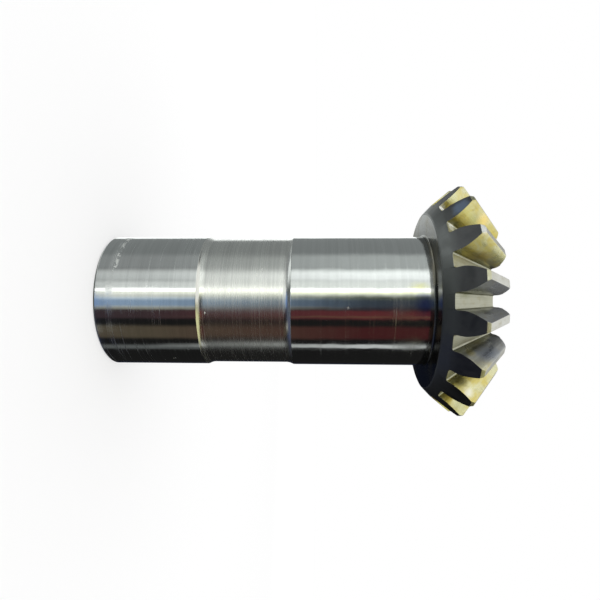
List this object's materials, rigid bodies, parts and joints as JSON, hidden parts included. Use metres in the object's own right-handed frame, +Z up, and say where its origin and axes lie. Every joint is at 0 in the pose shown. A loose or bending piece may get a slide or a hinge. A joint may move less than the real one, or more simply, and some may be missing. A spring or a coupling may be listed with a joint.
{
  "type": "governor drive gear",
  "caption": "Straight bevel gear cut in one piece with a hollow ground shaft, which runs in a bush and drives an engine governor through its serrated bore.",
  "frame": {"origin": "centre of the shaft's end face, on the axis, where the gear stands", "axes": "+Z up the shaft's axis from the shaft end towards the gear head; a tooth space is centred on -Y and a tooth on +Y"},
  "size_m": [0.0918, 0.0915, 0.15],
  "materials": {
    "steel": "Journals ground bright with fine lines round them, relief turned and brushed, gear blank left dark, tooth flanks cut and stained straw by oil"
  },
  "bodies": {
    "root": {"governor_drive_gear": "steel"}
  },
  "joints": []
}
